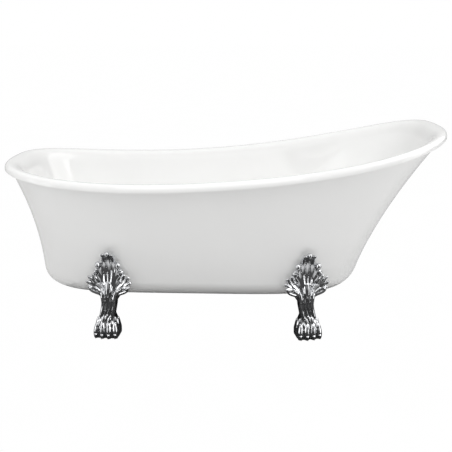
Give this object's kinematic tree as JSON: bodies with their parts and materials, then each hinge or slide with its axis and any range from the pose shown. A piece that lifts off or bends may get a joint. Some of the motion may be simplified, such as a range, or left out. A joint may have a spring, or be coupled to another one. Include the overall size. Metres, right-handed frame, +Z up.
{
  "type": "freestanding bathtub",
  "caption": "Freestanding slipper bath: double-walled white acrylic tub with a rolled rim, raised at one end, on cast paw feet with acanthus leaves, with waste and overflow.",
  "frame": {"origin": "on the floor under the middle of the rim's length and width", "axes": "+X towards the high slipper end, -Y the front, +Z up"},
  "size_m": [1.7, 0.7762, 0.7968],
  "materials": {
    "white_acrylic": "high gloss",
    "chrome": "polished",
    "zinc_plated_steel": "satin zinc plate",
    "black_rubber": "matte",
    "white_plastic": "moulded satin",
    "brass": "machined",
    "plywood": "bare, sanded"
  },
  "bodies": {
    "bath": {"inner_shell": "white_acrylic", "outer_skin": "white_acrylic", "foot_studs": "zinc_plated_steel", "foot_washers": "zinc_plated_steel", "foot_nuts": "zinc_plated_steel", "frame_crossbar_foot_end": "zinc_plated_steel", "frame_crossbar_slipper_end": "zinc_plated_steel", "frame_rail_front": "zinc_plated_steel", "frame_rail_back": "zinc_plated_steel", "frame_tie_bar": "zinc_plated_steel", "base_board": "plywood", "waste_flange": "chrome", "waste_seat_gasket": "black_rubber", "waste_under_gasket": "black_rubber", "plug_socket": "brass", "waste_body": "white_plastic", "waste_tail": "chrome", "waste_tail_nut": "white_plastic", "overflow_gasket": "black_rubber", "overflow_body": "white_plastic", "overflow_screw": "chrome", "overflow_face": "chrome", "overflow_pipe": "white_plastic", "overflow_lower_nut": "white_plastic", "overflow_upper_nut": "white_plastic", "paw_foot_front_left": "chrome", "paw_foot_back_left": "chrome", "paw_foot_front_right": "chrome", "paw_foot_back_right": "chrome", "mounting_plate_front_left": "zinc_plated_steel", "mounting_plate_back_left": "zinc_plated_steel", "mounting_plate_front_right": "zinc_plated_steel", "mounting_plate_back_right": "zinc_plated_steel"},
    "waste_plug": {"plug_cap": "chrome", "plug_seal": "black_rubber", "plug_stem": "brass"},
    "pad_front_left": {"leveller_pad_front_left": "black_rubber"},
    "screw_front_left": {"leveller_screw_front_left": "zinc_plated_steel"},
    "pad_back_left": {"leveller_pad_back_left": "black_rubber"},
    "screw_back_left": {"leveller_screw_back_left": "zinc_plated_steel"},
    "pad_front_right": {"leveller_pad_front_right": "black_rubber"},
    "screw_front_right": {"leveller_screw_front_right": "zinc_plated_steel"},
    "pad_back_right": {"leveller_pad_back_right": "black_rubber"},
    "screw_back_right": {"leveller_screw_back_right": "zinc_plated_steel"}
  },
  "joints": [
    {"name": "plug_lift", "type": "slide", "parent": "bath", "child": "waste_plug", "axis": [0, 0, 1], "range_m": [0, 0.009]},
    {"name": "level_front_left", "type": "slide", "parent": "bath", "child": "pad_front_left", "axis": [0, 0, -1], "range_m": [0, 0.012]},
    {"name": "turn_front_left", "type": "hinge", "parent": "pad_front_left", "child": "screw_front_left", "pos_m": [-0.43959, -0.26778, 0.03], "axis": [0, 0, -1], "range_deg": [0, 2881]},
    {"name": "level_back_left", "type": "slide", "parent": "bath", "child": "pad_back_left", "axis": [0, 0, -1], "range_m": [0, 0.012]},
    {"name": "turn_back_left", "type": "hinge", "parent": "pad_back_left", "child": "screw_back_left", "pos_m": [-0.43959, 0.26778, 0.03], "axis": [0, 0, -1], "range_deg": [0, 2881]},
    {"name": "level_front_right", "type": "slide", "parent": "bath", "child": "pad_front_right", "axis": [0, 0, -1], "range_m": [0, 0.012]},
    {"name": "turn_front_right", "type": "hinge", "parent": "pad_front_right", "child": "screw_front_right", "pos_m": [0.3349, -0.26261, 0.03], "axis": [0, 0, -1], "range_deg": [0, 2881]},
    {"name": "level_back_right", "type": "slide", "parent": "bath", "child": "pad_back_right", "axis": [0, 0, -1], "range_m": [0, 0.012]},
    {"name": "turn_back_right", "type": "hinge", "parent": "pad_back_right", "child": "screw_back_right", "pos_m": [0.3349, 0.26261, 0.03], "axis": [0, 0, -1], "range_deg": [0, 2881]}
  ],
  "couplings": [
    {"joint": "turn_front_left", "follows": "level_front_left", "rad_per_m": 4188.8},
    {"joint": "turn_back_left", "follows": "level_back_left", "rad_per_m": 4188.8},
    {"joint": "turn_front_right", "follows": "level_front_right", "rad_per_m": 4188.8},
    {"joint": "turn_back_right", "follows": "level_back_right", "rad_per_m": 4188.8}
  ]
}
